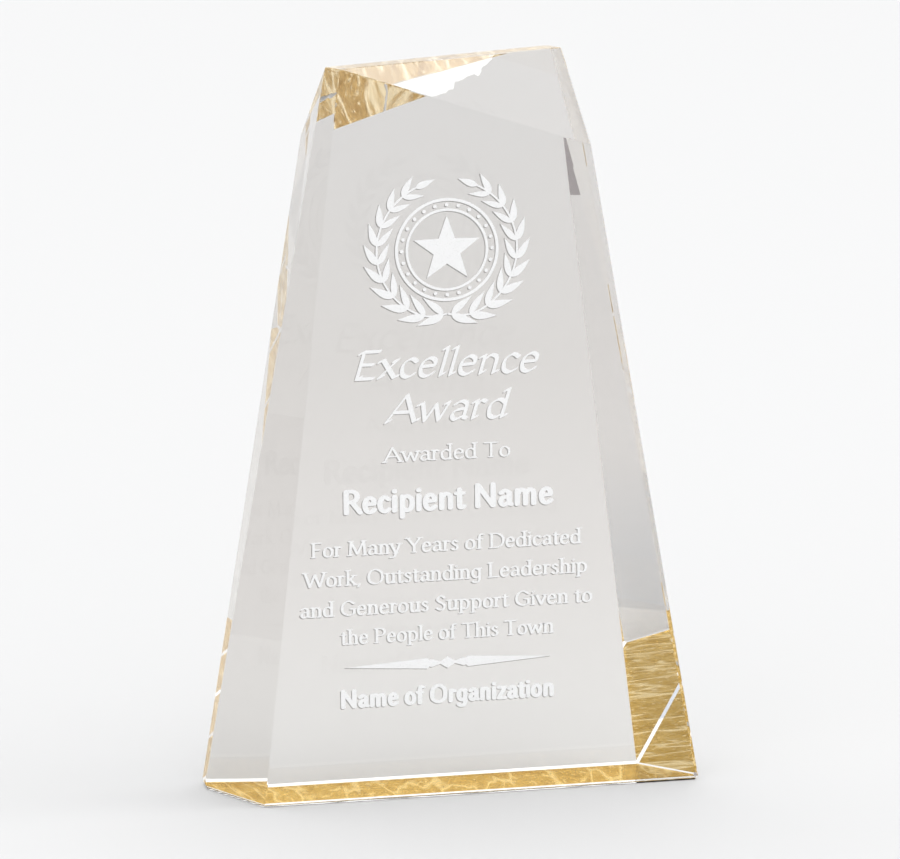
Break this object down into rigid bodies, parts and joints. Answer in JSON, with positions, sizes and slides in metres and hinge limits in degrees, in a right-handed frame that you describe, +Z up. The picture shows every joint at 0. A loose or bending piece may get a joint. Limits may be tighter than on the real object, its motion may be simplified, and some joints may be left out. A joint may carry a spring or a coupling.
{
  "type": "crystal award",
  "caption": "Free-standing clear tapered award block with slanting side bevels, crossed top cuts and a gold-leaf underside behind a clear base sheet.",
  "frame": {"origin": "middle of the resting face, at its bottom", "axes": "+Z up the award, +X to the award's right seen from its front, -Y out of the engraved front face"},
  "size_m": [0.1354, 0.0254, 0.2037],
  "materials": {
    "clear_block": "polished clear cast acrylic, frosted engraving on the front face",
    "gold_leaf": "crinkled bright gold leaf",
    "clear_sheet": "polished clear sheet"
  },
  "bodies": {
    "root": {"crystal_block": "clear_block", "gold_leaf": "gold_leaf", "base_sheet": "clear_sheet"}
  },
  "joints": []
}
